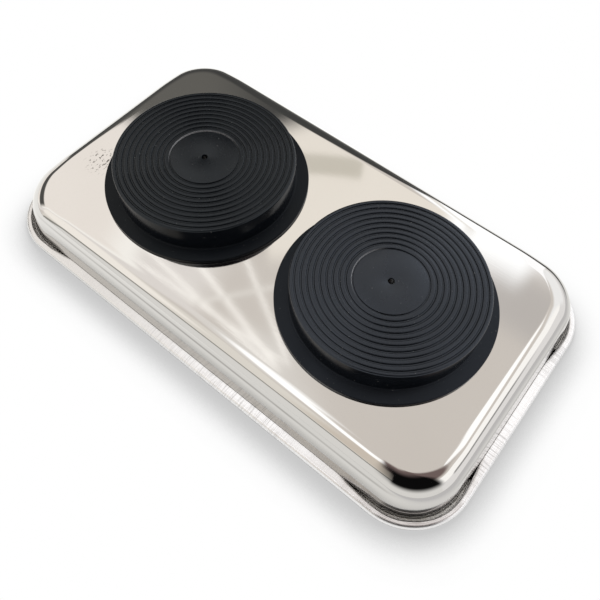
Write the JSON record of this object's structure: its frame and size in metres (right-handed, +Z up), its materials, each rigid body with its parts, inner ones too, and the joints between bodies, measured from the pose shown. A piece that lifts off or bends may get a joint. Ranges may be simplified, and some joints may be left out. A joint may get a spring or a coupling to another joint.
{
  "type": "magnetic parts tray",
  "caption": "Shallow rectangular polished steel tray with rounded corners and a rolled rim, on round ring magnets in grooved black rubber boots; holds small steel parts and grips steel.",
  "frame": {"origin": "midway between the two boots, on the surface that their gripping faces stand on", "axes": "+X along the tray's length, from the left boot to the right one, +Y across it, +Z up out of the tray's open top"},
  "size_m": [0.24, 0.138, 0.035],
  "materials": {
    "polished_steel": "bright polished stainless sheet with fine rubbing marks and a duller, creased rolled rim",
    "black_rubber": "matte moulded rubber, slightly blue black",
    "ferrite": "ground dark grey ferrite",
    "zinc_steel": "bright zinc-plated steel"
  },
  "bodies": {
    "root": {"tray": "polished_steel", "left_rubber_boot": "black_rubber", "left_ring_magnet": "ferrite", "left_clamp_cup": "zinc_steel", "left_screw": "zinc_steel", "left_flat_washer": "zinc_steel", "left_spring_washer": "zinc_steel", "left_nut": "zinc_steel", "right_rubber_boot": "black_rubber", "right_ring_magnet": "ferrite", "right_clamp_cup": "zinc_steel", "right_screw": "zinc_steel", "right_flat_washer": "zinc_steel", "right_spring_washer": "zinc_steel", "right_nut": "zinc_steel"}
  },
  "joints": []
}
